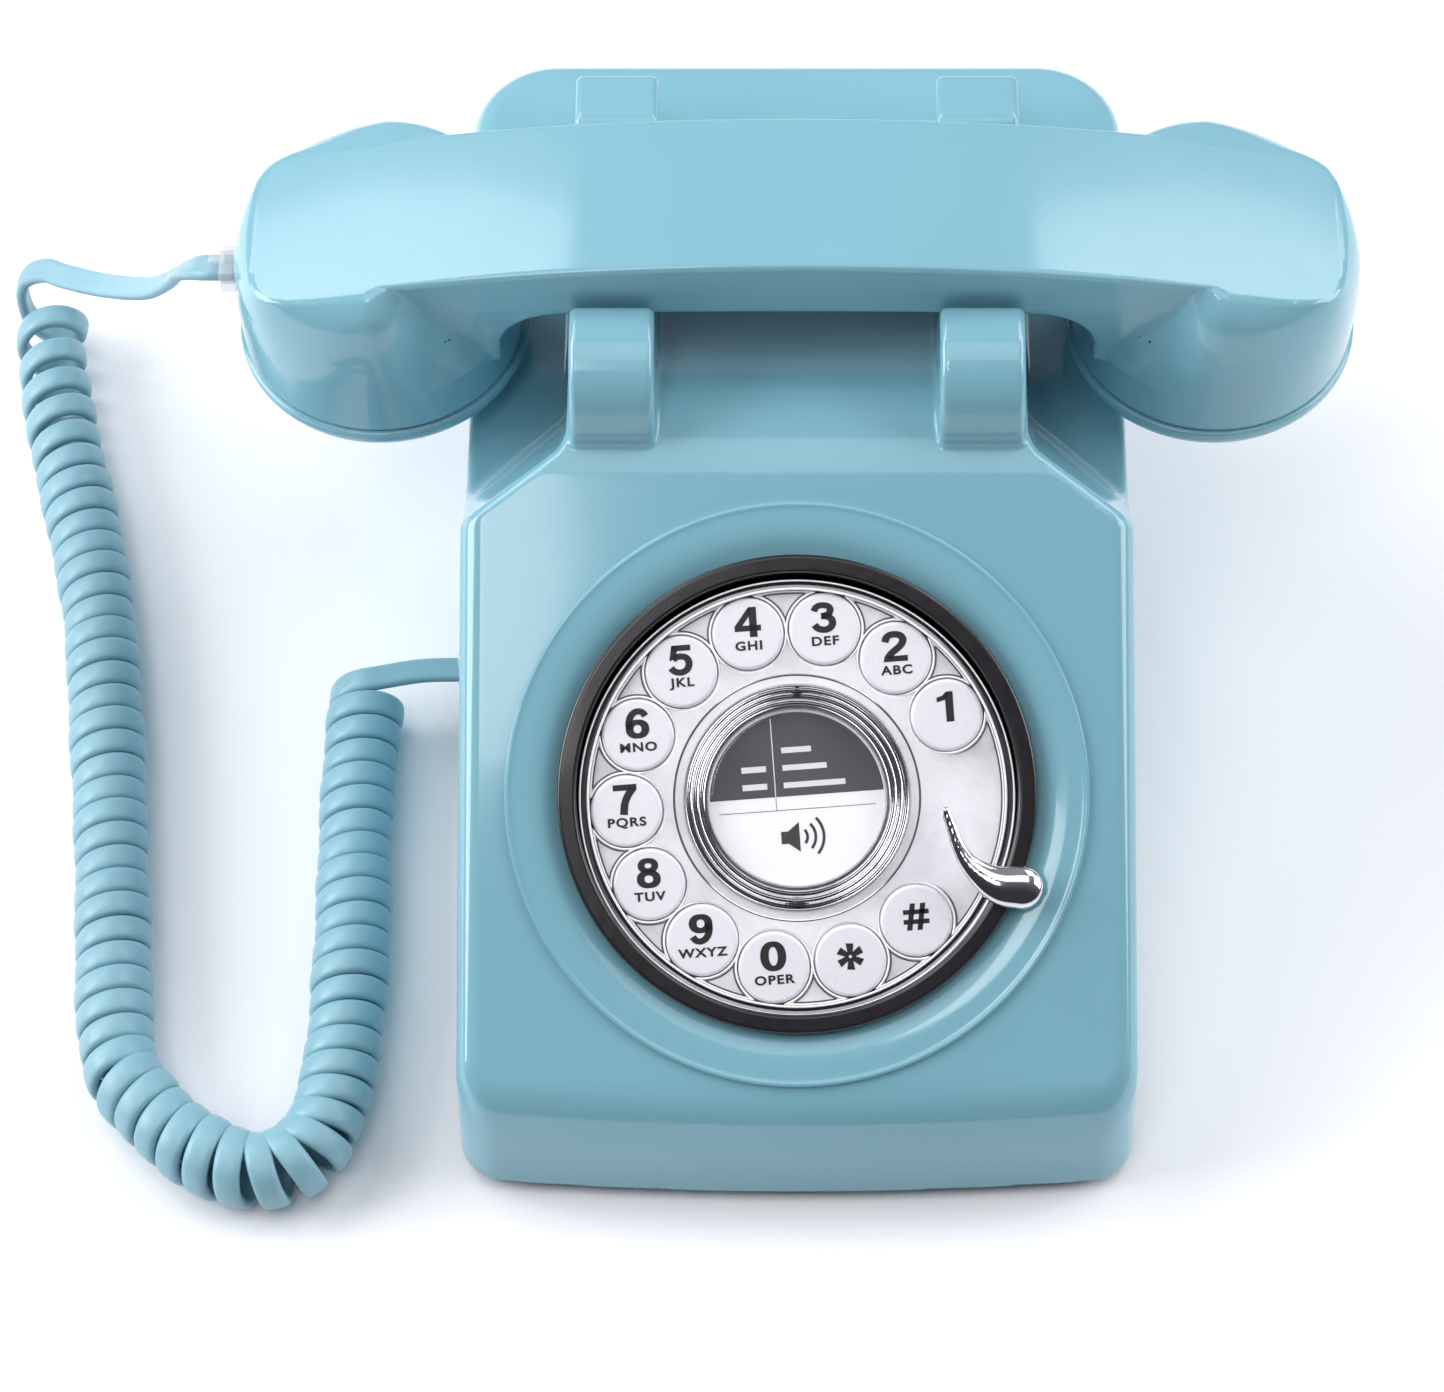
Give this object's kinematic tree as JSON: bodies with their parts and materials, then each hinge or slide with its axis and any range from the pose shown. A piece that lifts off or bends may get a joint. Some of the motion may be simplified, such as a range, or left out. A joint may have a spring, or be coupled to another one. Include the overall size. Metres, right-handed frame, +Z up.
{
  "type": "desk telephone",
  "caption": "Corded desk telephone in light teal with round push buttons set as a dial, a curved handset on cradle hooks and a curly cord.",
  "frame": {"origin": "centre of the underside of the telephone without its cord, on the table", "axes": "+X to the right along the handset, +Y to the back of the telephone, +Z up"},
  "size_m": [0.2874, 0.2227, 0.12],
  "materials": {
    "teal_shell": "polished light teal",
    "teal_cord": "satin teal vinyl",
    "black_gloss": "polished black",
    "dark_plastic": "moulded black",
    "dark_rubber": "matte rubber",
    "white_plastic": "milky white",
    "clear_plastic": "clear",
    "chrome_plate": "mirror plated",
    "plain_steel": "zinc plated",
    "circuit_board": "green laminate",
    "printed_card": "printed card"
  },
  "bodies": {
    "base": {"upper_casing": "teal_shell", "base_plate": "dark_plastic", "foot_1": "dark_rubber", "foot_2": "dark_rubber", "foot_3": "dark_rubber", "foot_4": "dark_rubber", "casing_screw_1": "plain_steel", "casing_screw_2": "plain_steel", "casing_screw_3": "plain_steel", "casing_screw_4": "plain_steel", "bezel_ring": "teal_shell", "dial_surround": "black_gloss", "number_plate": "white_plastic", "finger_wheel": "clear_plastic", "hub_ring": "chrome_plate", "keypad_mat": "dark_rubber", "keypad_board": "circuit_board", "main_board": "circuit_board", "loudspeaker": "dark_plastic", "ballast_weight": "plain_steel", "hook_bracket": "plain_steel", "hook_switch": "dark_plastic", "base_socket": "dark_plastic", "line_socket": "dark_plastic", "base_plug": "clear_plastic", "cord_lead_base": "teal_cord", "cord_curl": "teal_cord", "cord_lead_handset": "teal_cord"},
    "handset": {"handset_body": "teal_shell", "earpiece_cap": "teal_shell", "mouthpiece_cap": "teal_shell", "receiver_capsule": "dark_plastic", "microphone_capsule": "dark_plastic", "handset_weight": "plain_steel", "handset_socket": "dark_plastic", "handset_plug": "clear_plastic"},
    "key_1_body": {"key_1": "white_plastic"},
    "key_2_body": {"key_2": "white_plastic"},
    "key_3_body": {"key_3": "white_plastic"},
    "key_4_body": {"key_4": "white_plastic"},
    "key_5_body": {"key_5": "white_plastic"},
    "key_6_body": {"key_6": "white_plastic"},
    "key_7_body": {"key_7": "white_plastic"},
    "key_8_body": {"key_8": "white_plastic"},
    "key_9_body": {"key_9": "white_plastic"},
    "key_0_body": {"key_0": "white_plastic"},
    "key_star_body": {"key_star": "white_plastic"},
    "key_hash_body": {"key_hash": "white_plastic"},
    "centre_body": {"centre_button": "white_plastic", "centre_card": "printed_card", "centre_lens": "clear_plastic"},
    "redial_body": {"finger_stop": "chrome_plate"},
    "hook_body": {"hook_bar": "dark_plastic", "hook_plunger_left": "dark_plastic", "hook_plunger_right": "dark_plastic"}
  },
  "joints": [
    {"name": "handset_lift", "type": "slide", "parent": "base", "child": "handset", "axis": [0, 0, 1], "range_m": [0, 0.08]},
    {"name": "hook_rise", "type": "slide", "parent": "base", "child": "hook_body", "axis": [0, 0, 1], "range_m": [0, 0.0035]},
    {"name": "press_1", "type": "slide", "parent": "base", "child": "key_1_body", "axis": [0, 0.5135, -0.8581], "range_m": [0, 0.0012], "stiffness_N_per_m": 250},
    {"name": "press_2", "type": "slide", "parent": "base", "child": "key_2_body", "axis": [0, 0.5135, -0.8581], "range_m": [0, 0.0012], "stiffness_N_per_m": 250},
    {"name": "press_3", "type": "slide", "parent": "base", "child": "key_3_body", "axis": [0, 0.5135, -0.8581], "range_m": [0, 0.0012], "stiffness_N_per_m": 250},
    {"name": "press_4", "type": "slide", "parent": "base", "child": "key_4_body", "axis": [0, 0.5135, -0.8581], "range_m": [0, 0.0012], "stiffness_N_per_m": 250},
    {"name": "press_5", "type": "slide", "parent": "base", "child": "key_5_body", "axis": [0, 0.5135, -0.8581], "range_m": [0, 0.0012], "stiffness_N_per_m": 250},
    {"name": "press_6", "type": "slide", "parent": "base", "child": "key_6_body", "axis": [0, 0.5135, -0.8581], "range_m": [0, 0.0012], "stiffness_N_per_m": 250},
    {"name": "press_7", "type": "slide", "parent": "base", "child": "key_7_body", "axis": [0, 0.5135, -0.8581], "range_m": [0, 0.0012], "stiffness_N_per_m": 250},
    {"name": "press_8", "type": "slide", "parent": "base", "child": "key_8_body", "axis": [0, 0.5135, -0.8581], "range_m": [0, 0.0012], "stiffness_N_per_m": 250},
    {"name": "press_9", "type": "slide", "parent": "base", "child": "key_9_body", "axis": [0, 0.5135, -0.8581], "range_m": [0, 0.0012], "stiffness_N_per_m": 250},
    {"name": "press_0", "type": "slide", "parent": "base", "child": "key_0_body", "axis": [0, 0.5135, -0.8581], "range_m": [0, 0.0012], "stiffness_N_per_m": 250},
    {"name": "press_star", "type": "slide", "parent": "base", "child": "key_star_body", "axis": [0, 0.5135, -0.8581], "range_m": [0, 0.0012], "stiffness_N_per_m": 250},
    {"name": "press_hash", "type": "slide", "parent": "base", "child": "key_hash_body", "axis": [0, 0.5135, -0.8581], "range_m": [0, 0.0012], "stiffness_N_per_m": 250},
    {"name": "press_centre", "type": "slide", "parent": "base", "child": "centre_body", "axis": [0, 0.5135, -0.8581], "range_m": [0, 0.001], "stiffness_N_per_m": 300},
    {"name": "press_redial", "type": "slide", "parent": "base", "child": "redial_body", "axis": [0, 0.5135, -0.8581], "range_m": [0, 0.001], "stiffness_N_per_m": 300}
  ],
  "couplings": [
    {"joint": "hook_rise", "follows": "handset_lift", "ratio": 0.043}
  ]
}
